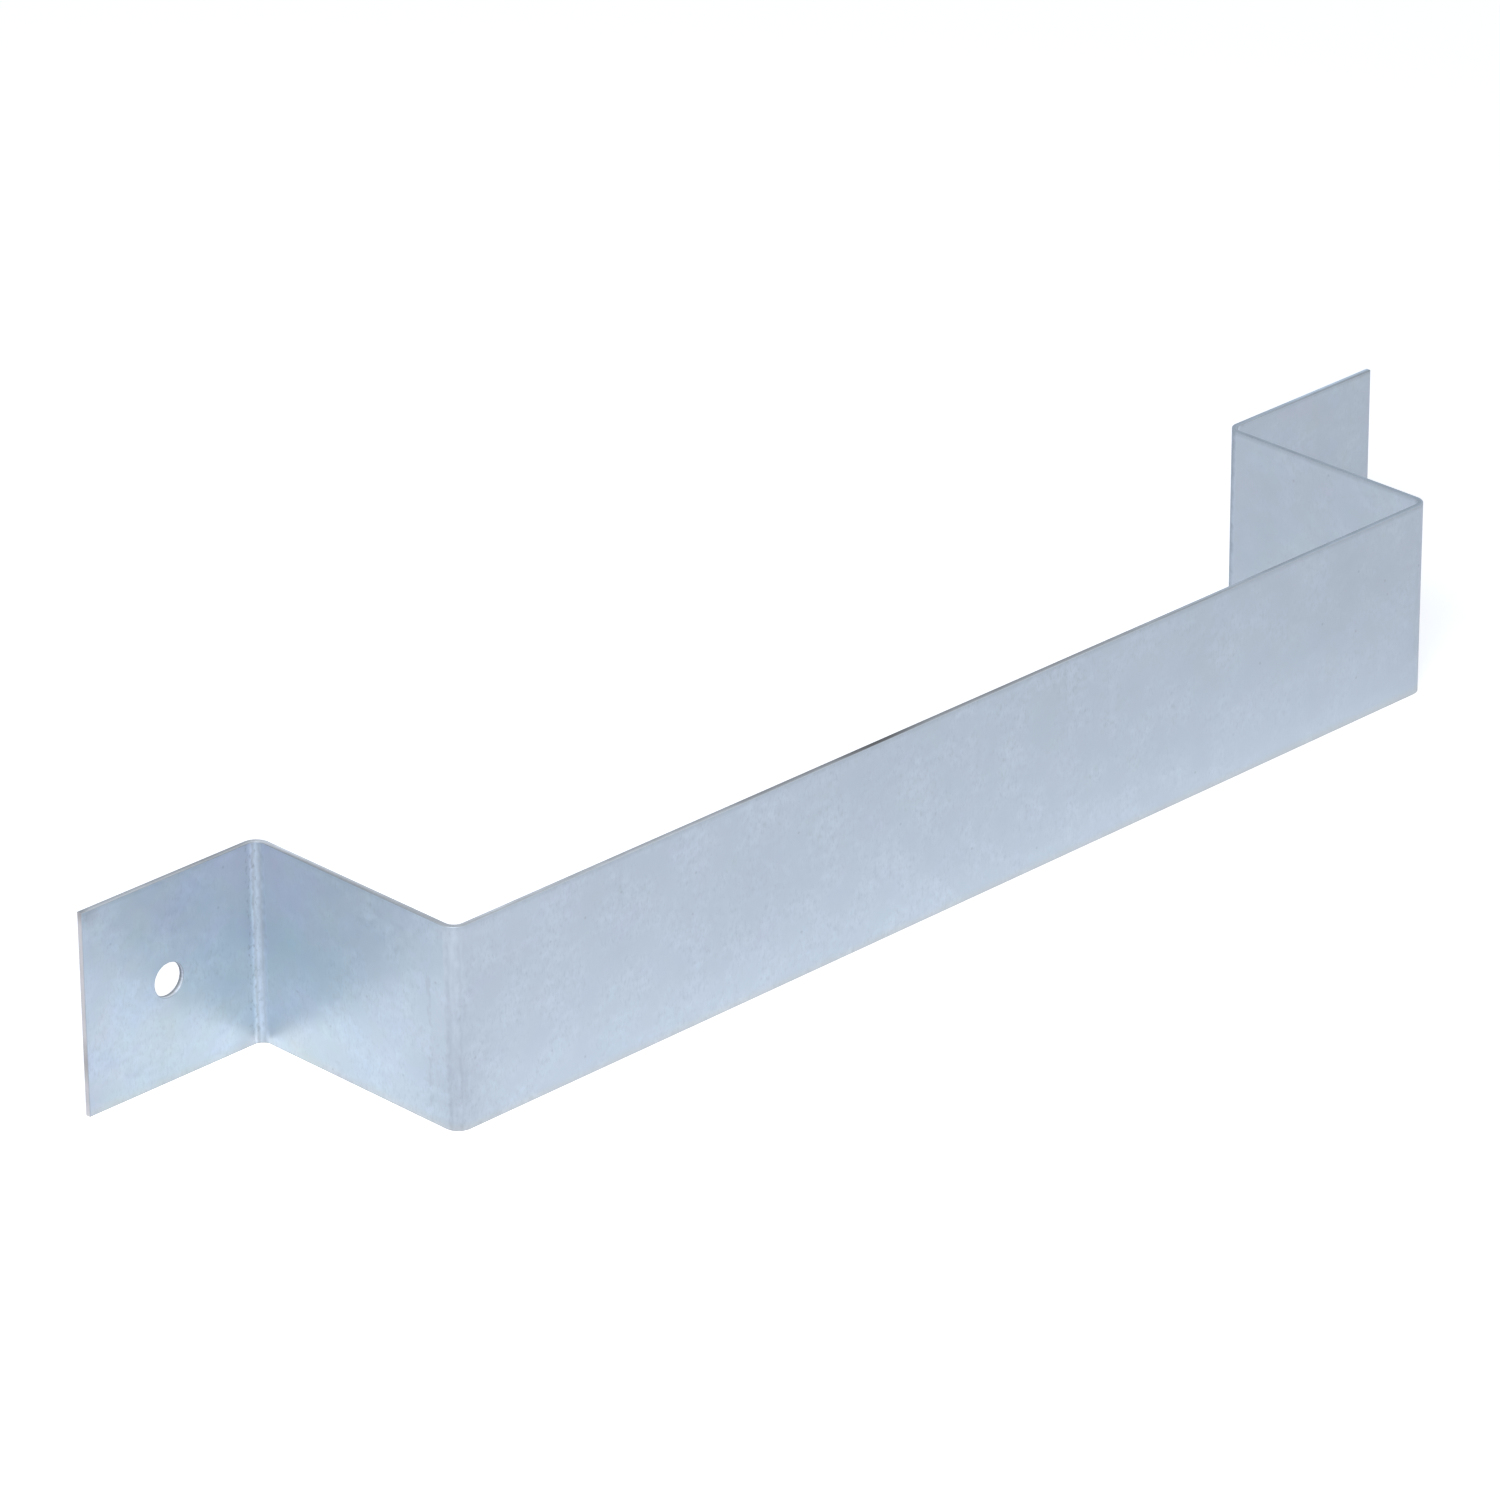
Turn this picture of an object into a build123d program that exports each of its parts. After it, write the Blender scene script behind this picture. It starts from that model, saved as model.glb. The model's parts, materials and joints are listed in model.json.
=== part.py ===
from build123d import *
import os

# Bracket that straps a flat duct to a wall, folded from one strip of galvanised sheet.
# All sizes are in millimetres. It stands on a long edge: +X runs along the web,
# +Y points at the wall and +Z crosses the strip. The origin is the middle of its base.

# Strip
strip_width = 30.0
sheet = 0.8

# Channel that holds the duct, between the legs and from the web to the wall
channel_width = 191.0
channel_depth = 38.2

# Flanges, each from its leg's outer face to the free end
flange_length = 30.6

# Folds, on their inner side
fold_radius = 1.5

# Screw holes, one in each flange
hole_diameter = 5.0

# Rounding that the shears and the punch press into the front skin
edge_roll = 0.1

# Places that follow from the sizes
leg_face = channel_width / 2 + sheet
free_end = leg_face + flange_length
wall_plane = (channel_depth + sheet) / 2
web_face = -wall_plane
flat_start = leg_face + fold_radius
hole_place = (flat_start + free_end) / 2


def skin_line(depth):
    """Folded line of the strip from above, at a depth in the sheet. The front skin is depth 0."""
    flange = wall_plane - sheet + depth
    leg = leg_face - depth
    web = web_face + depth
    wall_fold = fold_radius + depth
    web_fold = fold_radius + sheet - depth
    return FilletPolyline(
        (-free_end, flange),
        (-leg, flange),
        (-leg, web),
        (leg, web),
        (leg, flange),
        (free_end, flange),
        radius=(wall_fold, web_fold, web_fold, wall_fold),
    )


def folded_strip():
    """Strip of even thickness, with its four folds and its square ends."""
    front = skin_line(0)
    back = skin_line(sheet)
    ends = [Line(front @ 0, back @ 0), Line(front @ 1, back @ 1)]
    profile = make_face([*front.edges(), *back.edges(), *ends])
    return extrude(profile, strip_width, dir=(0, 0, 1))


def screw_hole(side):
    """Punch for the hole in the middle of a flange's flat. Side is -1 for left, 1 for right."""
    punch = Cylinder(hole_diameter / 2, 2 * sheet, rotation=(90, 0, 0))
    return Pos(side * hole_place, wall_plane - sheet / 2, strip_width / 2) * punch


def cut_edges(bracket):
    """Front skin's edges that the shears and the punch cut, without the seams beside the folds."""
    upright = bracket.edges().filter_by(Axis.Z)
    end_edges = [edge for edge in upright if abs(edge.center().X) > free_end - sheet]
    outline = [edge for edge in bracket.edges() if edge not in upright]
    front = skin_line(0)
    on_front = []
    for edge in outline + end_edges:
        middle = edge @ 0.5
        if front.distance_to((middle.X, middle.Y, 0)) < edge_roll / 2:
            on_front.append(edge)
    return on_front


bracket = folded_strip() - [screw_hole(side) for side in (-1, 1)]
bracket = fillet(cut_edges(bracket), edge_roll)

os.makedirs("parts", exist_ok=True)
export_step(bracket, "parts/folded_strip.step")
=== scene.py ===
import json
import math
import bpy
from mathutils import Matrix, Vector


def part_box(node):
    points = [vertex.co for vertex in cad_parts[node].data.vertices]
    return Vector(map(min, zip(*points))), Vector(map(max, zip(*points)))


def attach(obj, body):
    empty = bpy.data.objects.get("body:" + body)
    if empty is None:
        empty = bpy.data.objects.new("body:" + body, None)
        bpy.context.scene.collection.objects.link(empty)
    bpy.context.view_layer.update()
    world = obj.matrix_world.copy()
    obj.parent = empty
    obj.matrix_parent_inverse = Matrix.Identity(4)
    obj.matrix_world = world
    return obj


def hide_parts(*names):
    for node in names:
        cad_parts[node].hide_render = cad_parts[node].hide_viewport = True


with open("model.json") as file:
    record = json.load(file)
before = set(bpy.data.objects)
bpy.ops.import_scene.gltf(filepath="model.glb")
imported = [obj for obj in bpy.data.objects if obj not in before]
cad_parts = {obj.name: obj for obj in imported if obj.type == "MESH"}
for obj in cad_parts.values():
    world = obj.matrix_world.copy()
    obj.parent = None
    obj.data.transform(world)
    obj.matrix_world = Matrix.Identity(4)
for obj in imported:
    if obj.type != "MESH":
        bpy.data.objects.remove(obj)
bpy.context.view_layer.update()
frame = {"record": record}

from types import SimpleNamespace

import bmesh
import bpy
from mathutils import Matrix, Vector

# Flat duct bracket: one strip of galvanised sheet, folded square four times, with a screw hole
# punched in each end. It stands on a long edge. +X runs along the web, +Y points at the wall and
# +Z crosses the strip. Lengths are in metres.

MM = 0.001
mounts = {mount["name"]: mount for mount in frame["record"]["mounts"]}
strip_low, strip_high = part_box("folded_strip")

strip_end = strip_high.x
strip_width = strip_high.z
web_face = strip_low.y
sheet = mounts["duct_seat"]["pos_m"][1] - web_face
flange_face = strip_high.y - sheet
leg_face = mounts["duct_side_right"]["pos_m"][0] + sheet
hole_radius = mounts["screw_holes"]["dims"]["hole_r_mm"] * MM
hole_place = mounts["screw_holes"]["dims"]["spacing_x_mm"] * MM / 2

fold_radius = 1.5 * MM
outer_radius = fold_radius + sheet
fold_steps = 14
hole_sides = 48
hole_margin = 6 * MM
edge_roll = 0.1 * MM
roll_steps = 3
round_profile = 0.5
smooth_angle = math.radians(40)
tolerance = 0.01 * MM

# Lengths along the front skin, from the middle of the web to where each fold starts and ends
web_end = leg_face - outer_radius
leg_start = web_end + outer_radius * math.pi / 2
leg_end = leg_start + flange_face - fold_radius - web_face - outer_radius
flange_start = leg_end + fold_radius * math.pi / 2
blank_end = flange_start + strip_end - leg_face - fold_radius
hole_along = flange_start + hole_place - leg_face - fold_radius
press_line = leg_start + 2.7 * MM


# Work on one piece at a time

def start_piece(name):
    """Gives the object just added its name, and puts its place into its mesh."""
    piece = bpy.context.object
    piece.name = piece.data.name = name
    bpy.ops.object.transform_apply(location=True, rotation=True, scale=True)
    bpy.ops.object.mode_set(mode="EDIT")
    bpy.ops.mesh.select_mode(type="EDGE")
    return piece


def pick_edges(piece, wanted):
    """Selects the edges that pass a test."""
    bpy.ops.mesh.select_all(action="DESELECT")
    mesh = bmesh.from_edit_mesh(piece.data)
    for edge in mesh.edges:
        edge.select_set(wanted(edge))
    mesh.select_flush_mode()
    bmesh.update_edit_mesh(piece.data)


def middle(edge):
    """Middle of an edge."""
    return (edge.verts[0].co + edge.verts[1].co) / 2


def near(value, place):
    """True where a coordinate is at a place."""
    return abs(value - place) < tolerance


def pull(piece, step, wanted):
    """Draws new faces out of the edges that pass a test."""
    pick_edges(piece, wanted)
    bpy.ops.mesh.extrude_region_move(TRANSFORM_OT_translate={"value": step})


def apply_modifier(piece, kind, **settings):
    """Adds a modifier to a piece and applies it."""
    modifier = piece.modifiers.new(kind.lower(), kind)
    for name, value in settings.items():
        setattr(modifier, name, value)
    bpy.ops.object.modifier_apply(modifier=modifier.name)


# Bracket

def left_half():
    """Front skin of the left half: a ring round the hole, drawn out to flange, leg and web."""
    centre = Vector((-hole_place, flange_face, strip_width / 2))
    upright = (math.pi / 2, 0, 0)
    bpy.ops.object.select_all(action="DESELECT")
    bpy.ops.mesh.primitive_plane_add(size=2 * hole_margin, location=centre, rotation=upright)
    skin = start_piece("bracket_strip")
    bpy.ops.mesh.delete(type="ONLY_FACE")
    bpy.ops.mesh.select_all(action="SELECT")
    bpy.ops.mesh.subdivide(number_cuts=hole_sides // 4 - 1)
    bpy.ops.mesh.primitive_circle_add(
        vertices=hole_sides, radius=hole_radius, location=centre, rotation=upright
    )
    bpy.ops.mesh.select_all(action="SELECT")
    bpy.ops.mesh.bridge_edge_loops()

    outer = centre.x - hole_margin
    inner = centre.x + hole_margin
    above = centre.z + hole_margin
    below = centre.z - hole_margin
    pull(skin, (-strip_end - outer, 0, 0), lambda edge: near(middle(edge).x, outer))
    pull(skin, (-leg_face - inner, 0, 0), lambda edge: near(middle(edge).x, inner))
    pull(skin, (0, 0, strip_width - above), lambda edge: near(middle(edge).z, above))
    pull(skin, (0, 0, -below), lambda edge: near(middle(edge).z, below))
    pull(skin, (0, web_face - flange_face, 0), lambda edge: near(middle(edge).x, -leg_face))
    pull(skin, (leg_face, 0, 0), lambda edge: near(middle(edge).y, web_face))
    return skin


def fold(skin, place, radius):
    """Rounds the upright folds that lie in the plane y = place."""
    pick_edges(
        skin,
        lambda edge: near(middle(edge).y, place)
        and all(near(abs(corner.co.x), leg_face) for corner in edge.verts),
    )
    bpy.ops.mesh.bevel(offset=radius, segments=fold_steps, profile=round_profile)


def face_outwards(skin):
    """Turns the skin's faces to the front."""
    bpy.ops.mesh.select_all(action="SELECT")
    bpy.ops.mesh.normals_make_consistent(inside=False)
    mesh = bmesh.from_edit_mesh(skin.data)
    web = max(mesh.faces, key=lambda face: face.calc_area())
    if web.normal.y > 0:
        bpy.ops.mesh.flip_normals()


def thicken(strip):
    """Gives the skin the sheet's thickness, behind it. Gives how many vertices the front has."""
    front = len(strip.data.vertices)
    apply_modifier(
        strip, "SOLIDIFY", thickness=sheet, offset=-1, use_even_offset=True, material_offset_rim=1
    )
    return front


def roll_cut_edges(strip, front):
    """Rounds the front skin's edges, where the shears and the punch went in."""
    bpy.ops.object.mode_set(mode="EDIT")
    pick_edges(
        strip,
        lambda edge: max(corner.index for corner in edge.verts) < front
        and {face.material_index for face in edge.link_faces} == {0, 1},
    )
    bpy.ops.mesh.bevel(
        offset=edge_roll, segments=roll_steps, profile=round_profile, material=1
    )
    bpy.ops.object.mode_set(mode="OBJECT")


def place_on_blank(corner):
    """Where a corner was on the flat blank: along it, across it, and into the sheet."""
    side = math.copysign(1, corner.x)
    out, y = abs(corner.x), corner.y
    fold_out, fold_y = leg_face + fold_radius, flange_face - fold_radius
    if out < web_end:
        along, depth = out, y - web_face
    elif y < web_face + outer_radius:
        turned = Vector((out - web_end, web_face + outer_radius - y))
        along = web_end + outer_radius * math.atan2(turned.x, turned.y)
        depth = outer_radius - turned.length
    elif y < fold_y:
        along, depth = leg_start + y - web_face - outer_radius, leg_face - out
    elif out < fold_out:
        turned = Vector((fold_out - out, y - fold_y))
        along = leg_end + fold_radius * math.atan2(turned.y, turned.x)
        depth = turned.length - fold_radius
    else:
        along, depth = flange_start + out - fold_out, y - flange_face
    return side * along, corner.z, depth


def lay_out_blank(strip):
    """Keeps each corner's place on the flat blank, for the finishes to follow the folds."""
    places = strip.data.attributes.new("on_blank", "FLOAT_VECTOR", "POINT")
    for corner, place in zip(strip.data.vertices, places.data):
        place.vector = place_on_blank(corner.co)


# Finishes

zinc_blue = (0.602, 0.66, 0.717, 1)
tint_base = (0.56, 0.625, 0.66)
tint_range = (0.065, 0.07, 0.11)
fold_reflection_zinc = (0.6, 0.685, 0.775, 1)
stain_tint = (1.01, 0.96, 0.9, 1)
no_tint = (1, 1, 1, 1)
upper_roll_zinc = (0.6, 0.66, 0.715, 1)
lower_roll_zinc = (0.72, 0.66, 0.64, 1)
smeared_zinc = (0.68, 0.66, 0.66)
left_steel = (0.355, 0.387, 0.43, 1)
right_steel = (0.335, 0.405, 0.49, 1)


def new_finish(name):
    """Starts a metal finish. Gives the material, its node tree and its shader."""
    finish = bpy.data.materials.new(name)
    finish.use_nodes = True
    return finish, finish.node_tree, finish.node_tree.nodes["Principled BSDF"]


def add(tree, kind, inputs=(), **settings):
    """Adds a node. An input is given a value, or an output to be joined to."""
    node = tree.nodes.new("ShaderNode" + kind)
    for name, value in settings.items():
        setattr(node, name, value)
    for socket, value in dict(inputs).items():
        if isinstance(value, bpy.types.NodeSocket):
            tree.links.new(value, node.inputs[socket])
        else:
            node.inputs[socket].default_value = value
    return node


def maths(tree, operation, *values):
    """Result of one operation on some numbers."""
    return add(tree, "Math", enumerate(values), operation=operation).outputs[0]


def times(tree, first, *others):
    """Product of some levels."""
    for other in others:
        first = maths(tree, "MULTIPLY", first, other)
    return first


def spread(tree, value, low, high, from_low=0.3, from_high=0.7):
    """Stretches one range of a value to another, and holds it level beyond both ends. With only
    two numbers, it stretches the middle range of a grain."""
    stretch = add(
        tree,
        "MapRange",
        {
            "Value": value,
            "From Min": from_low,
            "From Max": from_high,
            "To Min": low,
            "To Max": high,
        },
    )
    return stretch.outputs["Result"]


def level_where(tree, share, level, elsewhere=1.0):
    """A level where a share is 1, and the level for elsewhere where it is 0."""
    return add(tree, "Mix", {0: share, 2: elsewhere, 3: level}).outputs[0]


def blend(tree, share, first, second, how="MIX"):
    """Colour that goes from a first to a second one as a share goes from 0 to 1."""
    mixed = add(tree, "Mix", {0: share, 6: first, 7: second}, data_type="RGBA", blend_type=how)
    return mixed.outputs[2]


def scaled(tree, colour, level):
    """Colour made lighter or darker by a level."""
    return add(tree, "VectorMath", {0: colour, "Scale": level}, operation="SCALE").outputs[0]


def stretched(tree, place, across, into=1):
    """Place for a grain that is drawn out across the strip, or into the sheet, by small scales."""
    return add(tree, "Mapping", {"Vector": place, "Scale": (1, across, into)}).outputs["Vector"]


def grain(tree, place, per_metre, detail=2, output="Fac"):
    """Soft random grain, around 0.5, of so many grains in a metre."""
    inputs = {"Vector": place, "Scale": per_metre, "Detail": detail, "Roughness": 0.6}
    return add(tree, "TexNoise", inputs).outputs[output]


def off_line(tree, way, line):
    """How far a way along the strip is from a line across it."""
    return maths(tree, "ABSOLUTE", maths(tree, "SUBTRACT", way, line))


def wavering(tree, way, shift, reach):
    """A way along the strip that a grain shifts to and fro, within a reach."""
    return maths(tree, "SUBTRACT", maths(tree, "MULTIPLY_ADD", shift, reach, way), reach / 2)


def blank(tree):
    """Where the finish was on the flat blank: its place, how far along, across and deep in the
    sheet that is, and how far out from the middle of the strip."""
    place = add(tree, "Attribute", attribute_name="on_blank").outputs["Vector"]
    along, across, deep = add(tree, "SeparateXYZ", {"Vector": place}).outputs
    out = off_line(tree, along, 0)
    return SimpleNamespace(place=place, along=along, across=across, deep=deep, out=out)


def tones_between(tree, way, start, end, tones):
    """Tone that changes from a start to an end, by stops of place and level."""
    passed = add(tree, "MapRange", {"Value": way, "From Min": start, "From Max": end})
    ramp = add(tree, "ValToRGB", {"Fac": passed.outputs["Result"]})
    stops = ramp.color_ramp.elements
    for stop, (where, level) in zip(stops, (tones[0], tones[-1])):
        stop.position, stop.color = where, (level, level, level, 1)
    for where, level in tones[1:-1]:
        stops.new(where).color = (level, level, level, 1)
    return ramp.outputs["Color"]


def end_to_end(tree, on, tones):
    """Tone that changes from the strip's left end to its right end."""
    return tones_between(tree, on.along, -blank_end, blank_end, tones)


def distance(tree, place, centre):
    """How far a place is from a point."""
    return add(tree, "VectorMath", {0: place, 1: centre}, operation="DISTANCE").outputs["Value"]


def spot(tree, place, centre, reach, level):
    """A soft spot of a level, which fades to 1 at its reach."""
    away = distance(tree, place, centre)
    soft = add(
        tree,
        "MapRange",
        {"Value": away, "From Max": reach, "To Min": level, "To Max": 1.0},
        interpolation_type="SMOOTHSTEP",
    )
    return soft.outputs["Result"]


def spots(tree, place, marks):
    """Some soft spots together, each with its centre, reach and level."""
    return times(tree, *(spot(tree, place, *mark) for mark in marks))


def metal(tree, shader, colour, roughness):
    """Makes the shader bare metal."""
    tree.links.new(colour, shader.inputs["Base Color"])
    tree.links.new(roughness, shader.inputs["Roughness"])
    shader.inputs["Metallic"].default_value = 1.0


def zinc_grain(tree, on, flecks, mottle):
    """Flecks in soft patches. Their strength is painted light: strongest low down on the left leg
    and flange, where the floor's light is reflected, and weaker at the wall folds and to the right.
    The patches, and wider clouds, also differ a little in tone."""
    patches = grain(tree, on.place, per_metre=160)
    clouds = grain(tree, on.place, per_metre=60)
    on_left = spread(tree, on.along, 1, 0, -leg_start, -web_end)
    low_down = spread(tree, on.across, 1.7, 0.7, 8 * MM, 20 * MM)
    strength = times(
        tree,
        spread(tree, patches, 0.1, 1.25, 0.38, 0.62),
        spread(tree, on.along, 1, 0.5, 0, 70 * MM),
        spread(tree, off_line(tree, on.out, leg_end), 0.4, 1, 3 * MM, 12 * MM),
        level_where(tree, on_left, low_down),
    )
    flecked = times(
        tree, spread(tree, flecks, 0.92, 1.012, 0.3, 0.5), spread(tree, mottle, 0.95, 1.05)
    )
    return times(
        tree,
        level_where(tree, strength, flecked),
        spread(tree, patches, 0.985, 1.035),
        spread(tree, clouds, 0.98, 1.02),
    )


def fold_highlights_and_shade(tree, on, mottle):
    """Painted highlights and shade in the folds: lighter and darker lines, which waver, and painted
    shade at the foot of each wall fold.
    """
    web_tones = (0, 1), (0.25, 1), (0.33, 0.94), (0.42, 1), (0.6, 1), (0.75, 0.92), (0.9, 1)
    wall_tones = (
        (0, 1), (0.05, 1.03), (0.28, 0.7), (0.5, 0.9), (0.61, 0.81), (0.66, 0.86),
        (0.74, 1.22), (0.82, 1.12), (0.94, 1),
    )
    foot_tones = (0, 1), (0.45, 1), (0.65, 0.94), (0.8, 0.92), (1, 1)
    way = wavering(tree, on.out, mottle, 0.8 * MM)
    at_foot = spread(tree, on.across, 1, 0, 8 * MM, 14 * MM)
    foot = tones_between(tree, on.out, leg_end, flange_start, foot_tones)
    return times(
        tree,
        tones_between(tree, way, web_end, leg_start, web_tones),
        tones_between(tree, way, leg_end, flange_start + 0.4 * MM, wall_tones),
        level_where(tree, at_foot, foot),
    )


def press_marks(tree, on, flecks, mottle):
    """What the press left: streaks down the folds, a broken line down each leg where the die's
    edge stood, and pits down the wall folds."""
    streaks = grain(tree, stretched(tree, on.place, across=0.2), per_metre=1600, detail=1)
    strained = (0, 0), (0.04, 1), (0.1, 1), (0.115, 0), (0.93, 0), (0.945, 1), (0.99, 1), (1, 0)
    in_folds = tones_between(tree, on.out, web_end - 1 * MM, flange_start + 0.5 * MM, strained)

    from_line = off_line(tree, wavering(tree, on.out, streaks, 2 * MM), press_line)
    on_line = times(
        tree,
        spread(tree, from_line, 1, 0, 0.15 * MM, 0.45 * MM),
        spread(tree, on.across, 1, 0, 20 * MM, 23 * MM),
        spread(tree, mottle, 1, 0, 0.45, 0.6),
    )
    pressed = (0, 0), (0.25, 0), (0.42, 1), (0.8, 1), (1, 0)
    in_pits = tones_between(tree, on.out, leg_end, flange_start + 1 * MM, pressed)
    return times(
        tree,
        level_where(tree, in_folds, spread(tree, streaks, 0.965, 1.035)),
        level_where(tree, on_line, level=0.91),
        level_where(tree, in_pits, spread(tree, flecks, 0.8, 1, 0.34, 0.44)),
    )


def specks_and_painted_shading(tree, on):
    """A few dark specks, and painted light and shade: soft lighter and darker spots, a painted
    shade along the lower edge and a painted shade beneath the upper one.
    """
    cells = {"Vector": on.place, "Scale": 150}
    cells = add(tree, "TexVoronoi", cells, voronoi_dimensions="2D").outputs
    chance = add(tree, "SeparateXYZ", {"Vector": cells["Color"]}).outputs[0]
    in_speck = times(
        tree,
        spread(tree, cells["Distance"], 1, 0, 0.015, 0.04),
        spread(tree, chance, 1, 0, 0.2, 0.25),
    )
    # Soft spots of painted light and shade: the first is a painted shadow of the burr under the
    # left end's top corner, the second painted light low beside the left wall fold; the others
    # lighten or darken the zinc a little.
    shade_and_light_spots = (
        ((1.2 * MM - blank_end, strip_width - 0.6 * MM, 0), 2.6 * MM, 0.78),
        ((-leg_end, 0, 0), 10 * MM, 1.05),
        ((-leg_start, 7 * MM, 0), 12 * MM, 0.92),
        ((-flange_start - 1.5 * MM, 0, 0), 4 * MM, 0.88),
        ((5 * MM - leg_end, 11 * MM, 0), 9 * MM, 1.045),
        ((14 * MM - leg_end, strip_width, 0), 13 * MM, 0.965),
        ((-flange_start - 9 * MM, 18 * MM, 0), 7 * MM, 1.03),
        ((2 * MM - blank_end, 24 * MM, 0), 5 * MM, 0.96),
    )
    # Painted shade along the lower edge, deepest on the left: the floor's contact shadow.
    low_down = spread(tree, on.across, 1, 0, 2 * MM, 5 * MM)
    # Painted shade beneath the upper edge, of a depth that changes along the strip.
    at_top = spread(tree, on.across, 0, 1, strip_width - 0.75 * MM, strip_width - edge_roll)
    painted_top_shade = (
        (0, 0.84), (0.03, 0.9), (0.1, 0.94), (0.2, 0.94), (0.22, 0.88),
        (0.68, 0.88), (0.8, 0.84), (0.9, 0.84), (0.92, 0.97), (1, 0.8),
    )
    return times(
        tree,
        level_where(tree, in_speck, level=0.86),
        spots(tree, on.place, shade_and_light_spots),
        level_where(tree, low_down, spread(tree, on.along, 0.96, 1, -web_end, 0)),
        level_where(tree, at_top, end_to_end(tree, on, painted_top_shade)),
    )


def zinc_colour(tree, on):
    """Pale blue grey with random tints, strongest on the left flange, and soft hazes round the left
    wall fold. It is bluer in the wall folds, by a painted reflection, and warmer at the lower edge
    and in its stains."""
    tints = grain(tree, on.place, per_metre=170, output="Color")
    tinted = {0: tints, 1: tint_range, 2: tint_base}
    tinted = add(tree, "VectorMath", tinted, operation="MULTIPLY_ADD").outputs[0]
    tinting = (0, 0.97), (0.15, 0.27), (0.84, 0.27), (0.88, 0.5)
    tinting = tones_between(tree, on.along, -flange_start, flange_start, tinting)
    colour = blend(tree, tinting, zinc_blue, tinted)

    hazes = (
        ((-flange_start - 9 * MM, strip_width, 0), 13 * MM, (1.03, 1, 1.025, 1)),
        ((3 * MM - leg_end, 25 * MM, 0), 11 * MM, (1.03, 1, 1.03, 1)),
        ((-flange_start - 5 * MM, 14 * MM, 0), 10 * MM, (0.975, 1, 0.99, 1)),
        ((2 * MM - leg_end, 16 * MM, 0), 6 * MM, (0.965, 1, 0.99, 1)),
        ((12 * MM - leg_end, 14 * MM, 0), 8 * MM, (0.99, 1, 1.01, 1)),
        ((-flange_start - 15 * MM, 8 * MM, 0), 9 * MM, (0.96, 1, 0.99, 1)),
        ((1 * MM - leg_end, 8 * MM, 0), 5 * MM, (1.04, 1, 1, 1)),
        ((10 * MM - leg_end, 4 * MM, 0), 9 * MM, (1, 1, 0.965, 1)),
    )
    for centre, reach, haze in hazes:
        outside = spot(tree, on.place, centre, reach, 0)
        tint = blend(tree, outside, haze, no_tint)
        colour = add(tree, "VectorMath", {0: colour, 1: tint}, operation="MULTIPLY").outputs[0]

    # Painted reflection: bluer, lighter zinc in the wall folds.
    folded = (0, 0), (0.25, 1), (0.6, 1), (0.8, 0.15), (1, 0)
    in_fold = tones_between(tree, on.out, leg_end, flange_start, folded)
    colour = blend(tree, in_fold, colour, fold_reflection_zinc)

    stains = (
        ((4.7 * MM - leg_end, 1.5 * MM, 0), 5 * MM, 0),
        ((-flange_start, 1 * MM, 0), 3 * MM, 0.3),
        ((-flange_start - 15 * MM, 7 * MM, 0), 8 * MM, 0.2),
    )
    off_edge = spread(tree, on.across, 0, 1, 0.2 * MM, 1.5 * MM)
    clean = times(tree, off_edge, spots(tree, on.place, stains))
    stained = spread(tree, clean, 1, 0, 0, 1)
    return blend(tree, stained, colour, stain_tint, "MULTIPLY")


def galvanised_sheet():
    """Zinc coating: pale blue grey and satin, with a fleck that is drawn out across the strip."""
    finish, tree, shader = new_finish("galvanised_sheet")
    on = blank(tree)
    flecks = grain(tree, stretched(tree, on.place, across=0.4), per_metre=2800)
    mottle = grain(tree, on.place, per_metre=700, detail=1)
    level = times(
        tree,
        zinc_grain(tree, on, flecks, mottle),
        fold_highlights_and_shade(tree, on, mottle),
        press_marks(tree, on, flecks, mottle),
        specks_and_painted_shading(tree, on),
    )
    colour = scaled(tree, zinc_colour(tree, on), level)
    metal(tree, shader, colour, roughness=spread(tree, mottle, 0.3, 0.4))
    relief = add(tree, "Bump", {"Height": flecks, "Strength": 0.3, "Distance": 0.01 * MM})
    tree.links.new(relief.outputs["Normal"], shader.inputs["Normal"])
    return finish


def cut_level(tree, on):
    """How light the cut is: burnished in front and torn behind, or in places dark in front with a
    bright burr behind. It has shear marks, a dark stain on the web and a light left wall fold,
    and the holes' walls are lighter in front."""
    marks = grain(tree, stretched(tree, on.place, across=1, into=0), per_metre=5000)
    burnished = spread(tree, on.deep, 1.08, 0.88, 0.3 * sheet, 0.5 * sheet)
    burred = spread(tree, on.deep, 0.7, 1.3, 0.15 * sheet, 0.75 * sheet)
    burr_tones = (
        (0.09, 0), (0.105, 1), (0.16, 0.8), (0.2, 0.3), (0.23, 0.8), (0.3, 0),
        (0.57, 0), (0.65, 0.9), (0.69, 0), (0.92, 0.2), (0.96, 1),
    )
    long_tones = (
        (0, 1.3), (0.09, 0.95), (0.1, 1.4), (0.13, 1.15), (0.19, 1.05), (0.23, 1.3),
        (0.3, 1.15), (0.35, 1.15), (0.38, 0.8), (0.55, 0.85),
        (0.65, 1), (0.69, 0.96), (0.8, 0.96), (0.9, 0.88), (0.92, 1.1),
    )
    stains = (
        ((-17 * MM, strip_width, 0), 12 * MM, 0.4),
        ((-leg_end - 1.2 * MM, strip_width, 0), 3 * MM, 1.4),
    )
    flat_place = add(tree, "CombineXYZ", {"X": on.out, "Y": on.across}).outputs[0]
    from_hole = distance(tree, flat_place, (hole_along, strip_width / 2, 0))
    in_hole = spread(tree, from_hole, 1, 0, 1.2 * hole_radius, 1.3 * hole_radius)
    punched = spread(tree, on.deep, 1.45, 0.8, 0.4 * sheet, 0.65 * sheet)
    return times(
        tree,
        spread(tree, marks, 0.88, 1.12),
        level_where(tree, end_to_end(tree, on, burr_tones), burred, elsewhere=burnished),
        end_to_end(tree, on, long_tones),
        level_where(tree, in_hole, punched),
        spots(tree, on.place, stains),
    )


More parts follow.
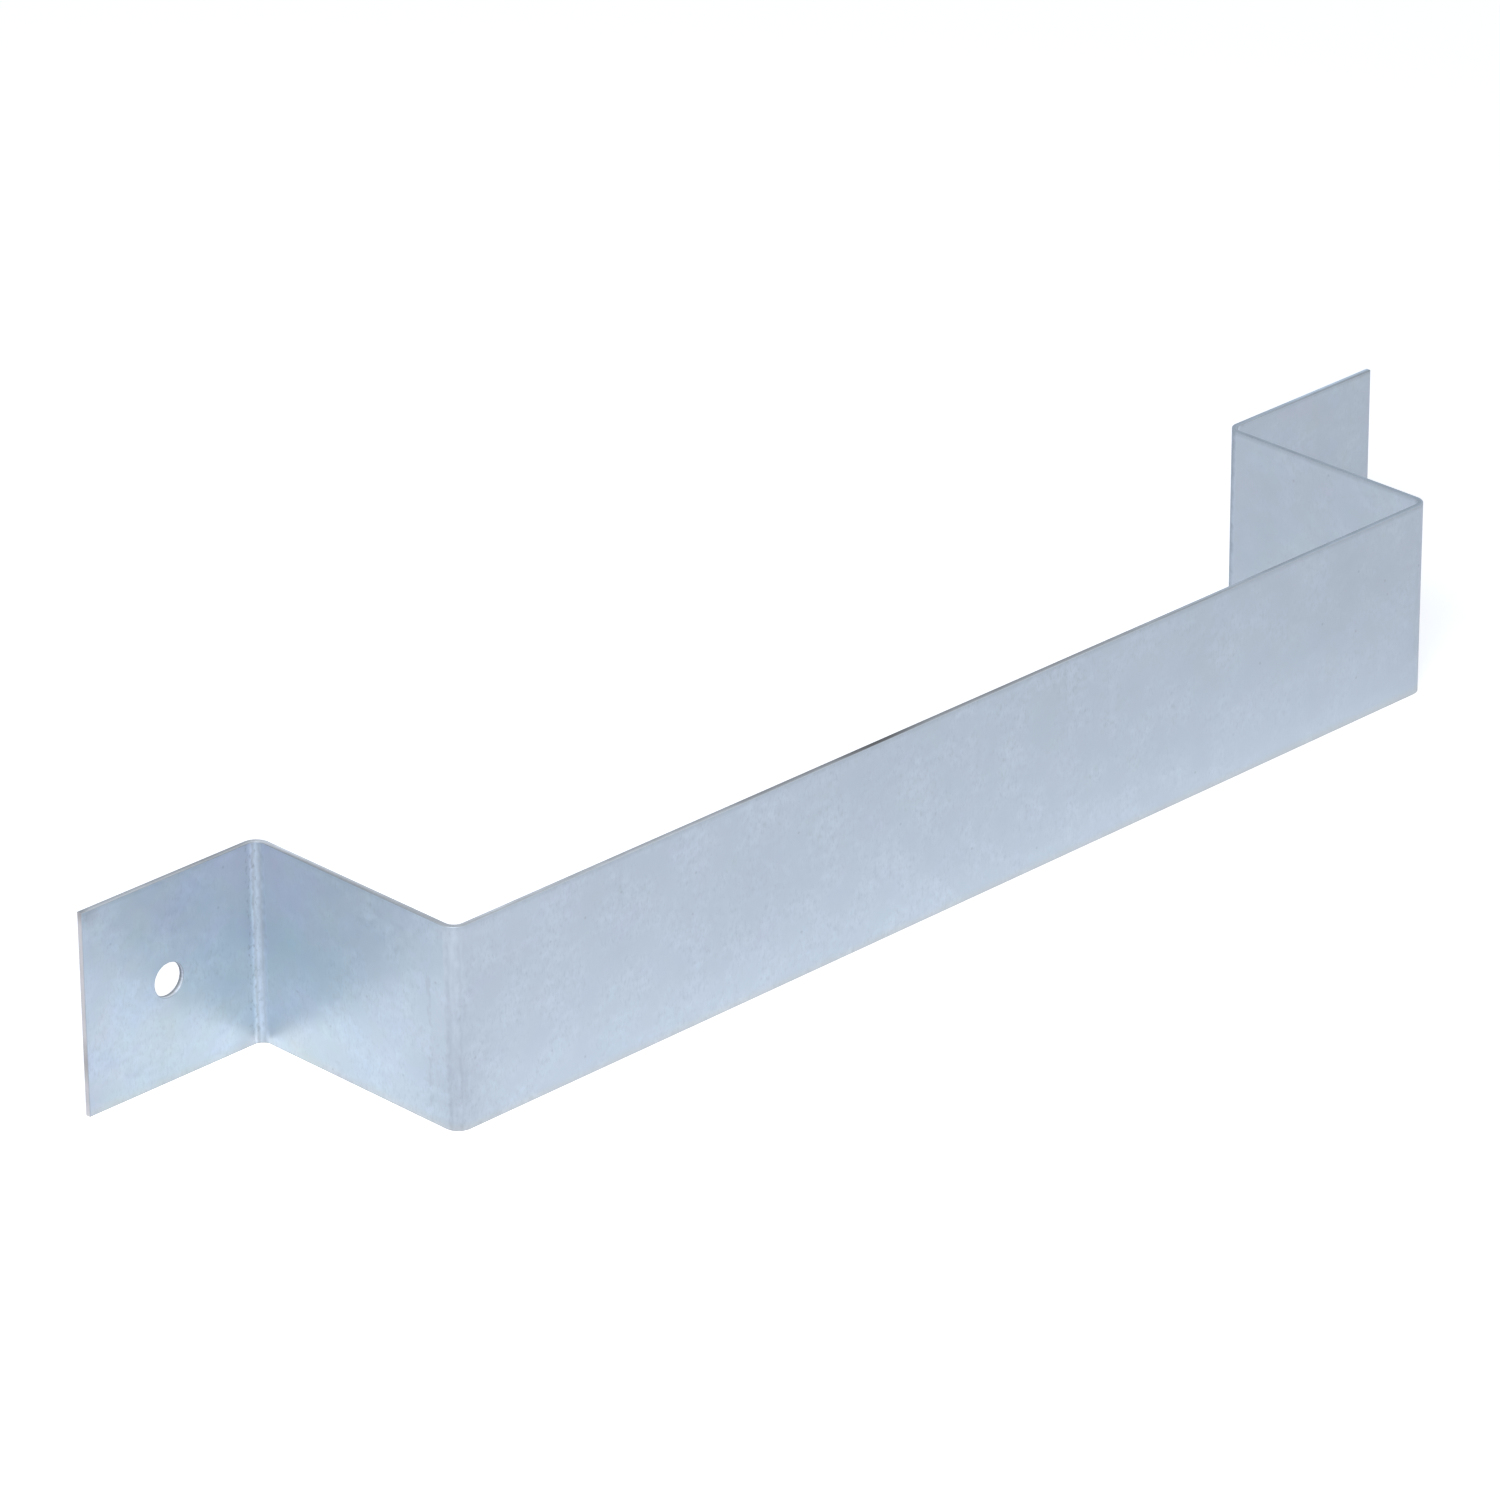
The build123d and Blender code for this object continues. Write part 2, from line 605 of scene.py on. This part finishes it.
def rolled_zinc(tree, on):
    """Zinc that runs out over the rolled front edge, warmer on the strip's lower edge. A painted
    shade along the strip hides the roll's highlight.
    """
    painted_roll_shade = (
        (0, 0.76), (0.1, 0.52), (0.19, 0.6), (0.22, 0.94), (0.58, 0.95), (0.64, 0.84),
        (0.78, 0.79), (0.82, 0.7), (0.91, 0.7), (1, 0.6),
    )
    at_lower_edge = spread(tree, on.across, 1, 0, edge_roll, 1.5 * edge_roll)
    zinc = blend(tree, at_lower_edge, upper_roll_zinc, lower_roll_zinc)
    return scaled(tree, zinc, end_to_end(tree, on, painted_roll_shade))


def sheared_steel():
    """Cut edge: grey steel, bluer to the right, with zinc over its rolled front edge. The shears
    smeared the zinc over the strip's ends too."""
    finish, tree, shader = new_finish("sheared_steel")
    on = blank(tree)
    end_stains = (
        ((-blank_end, 8 * MM, 0), 4 * MM, 0.75),
        ((-blank_end, strip_width, 0), 2 * MM, 0.7),
    )
    dirt = times(
        tree,
        spread(tree, grain(tree, on.place, per_metre=250), 0.92, 1.08),
        spots(tree, on.place, end_stains),
    )
    on_right = spread(tree, on.along, 0, 1, 25 * MM, 70 * MM)
    steel = blend(tree, on_right, left_steel, right_steel)
    bare = scaled(tree, steel, times(tree, dirt, cut_level(tree, on)))
    smeared = scaled(tree, smeared_zinc, dirt)
    at_end = spread(tree, on.out, 0, 1, blank_end - edge_roll, blank_end)
    on_roll = spread(tree, on.deep, 1, 0, 0, edge_roll)
    colour = blend(tree, on_roll, blend(tree, at_end, bare, smeared), rolled_zinc(tree, on))
    torn = grain(tree, on.place, per_metre=9000)
    metal(tree, shader, colour, roughness=spread(tree, torn, 0.4, 0.6))
    return finish


# Studio

def seen(tree):
    """Whether the camera sees the place, and whether the camera, a reflection or glass does."""
    path = add(tree, "LightPath").outputs
    direct = path["Is Camera Ray"]
    mirrored = maths(tree, "MAXIMUM", direct, path["Is Glossy Ray"])
    return direct, maths(tree, "MAXIMUM", mirrored, path["Is Transmission Ray"])


def table_top():
    """Plain white floor, which keeps the bracket's shadow."""
    bpy.ops.object.select_all(action="DESELECT")
    bpy.ops.mesh.primitive_plane_add(size=6)
    table = bpy.context.object
    table.name = "table_top"
    paper = bpy.data.materials.new("white_paper")
    paper.use_nodes = True
    tree = paper.node_tree
    tree.nodes.clear()
    lit = add(tree, "BsdfDiffuse", {"Color": (0.9, 0.9, 0.9, 1)}).outputs[0]
    direct, mirrored = seen(tree)
    mirrored_glow = maths(tree, "MULTIPLY", mirrored, 0.24)
    glow = maths(tree, "MULTIPLY_ADD", direct, 0.4, mirrored_glow)
    white = add(tree, "Emission", {"Strength": glow}).outputs[0]
    shown = add(tree, "AddShader", {0: lit, 1: white}).outputs[0]
    add(tree, "OutputMaterial", {"Surface": shown})
    table.data.materials.append(paper)


def studio_air():
    """White behind everything, and a softer blue grey from all round for the light."""
    world = bpy.data.worlds.new("studio_air")
    bpy.context.scene.world = world
    world.use_nodes = True
    tree = world.node_tree
    tree.nodes.clear()
    around = add(tree, "Background", {"Color": (0.8, 0.85, 1, 1), "Strength": 0.325}).outputs[0]
    behind = add(tree, "Background", {"Color": (1, 1, 1, 1), "Strength": 1.0}).outputs[0]
    both = add(tree, "MixShader", {0: seen(tree)[1], 1: around, 2: behind}).outputs[0]
    add(tree, "OutputWorld", {"Surface": both})


def soft_lamp(name, place, size, power):
    """Square lamp of soft, slightly cool light, turned to the left of the bracket's middle."""
    aim = Vector((-0.03, 0, 0))
    bpy.ops.object.light_add(type="AREA", location=place)
    lamp = bpy.context.object
    lamp.name = name
    lamp.data.size = size
    lamp.data.energy = power
    lamp.data.color = (0.84, 0.9, 1)
    lamp.rotation_euler = (aim - Vector(place)).to_track_quat("-Z", "Y").to_euler()


def camera():
    """Camera at the photograph's angle, slightly rolled."""
    azimuth, elevation, roll = (math.radians(angle) for angle in (-44.7271, 25.4911, -0.3839))
    aim = Vector((-0.01891, 0.00378, 0.02178))
    distance_back = 1.15531
    back = Vector(
        (
            math.sin(azimuth) * math.cos(elevation),
            -math.cos(azimuth) * math.cos(elevation),
            math.sin(elevation),
        )
    )
    level = Vector((math.cos(azimuth), math.sin(azimuth), 0))
    upright = back.cross(level)
    right = level * math.cos(roll) + upright * math.sin(roll)
    up = upright * math.cos(roll) - level * math.sin(roll)
    turn = Matrix((right, up, back)).transposed().to_4x4()
    bpy.ops.object.camera_add()
    lens = bpy.context.object
    lens.name = "camera"
    lens.matrix_world = Matrix.Translation(aim + back * distance_back) @ turn
    lens.data.lens = 201.477
    lens.data.sensor_width = 36
    bpy.context.scene.camera = lens


# Making

bracket = left_half()
bpy.ops.object.mode_set(mode="OBJECT")
apply_modifier(bracket, "MIRROR", merge_threshold=0.001 * MM)
bpy.ops.object.mode_set(mode="EDIT")
fold(bracket, flange_face, fold_radius)
fold(bracket, web_face, outer_radius)
face_outwards(bracket)
bpy.ops.object.mode_set(mode="OBJECT")
bracket.data.materials.append(galvanised_sheet())
bracket.data.materials.append(sheared_steel())
front_corners = thicken(bracket)
roll_cut_edges(bracket, front_corners)
lay_out_blank(bracket)
bpy.ops.object.shade_smooth_by_angle(angle=smooth_angle)
apply_modifier(bracket, "WEIGHTED_NORMAL", keep_sharp=True)

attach(bracket, "root")
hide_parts("folded_strip")

table_top()
studio_air()
soft_lamp("key_lamp", place=(-0.40, -0.20, 0.45), size=0.35, power=0.7)
soft_lamp("side_lamp", place=(-0.68, -0.42, 0.65), size=0.55, power=4.3)
camera()
bpy.context.scene.view_settings.view_transform = "Standard"
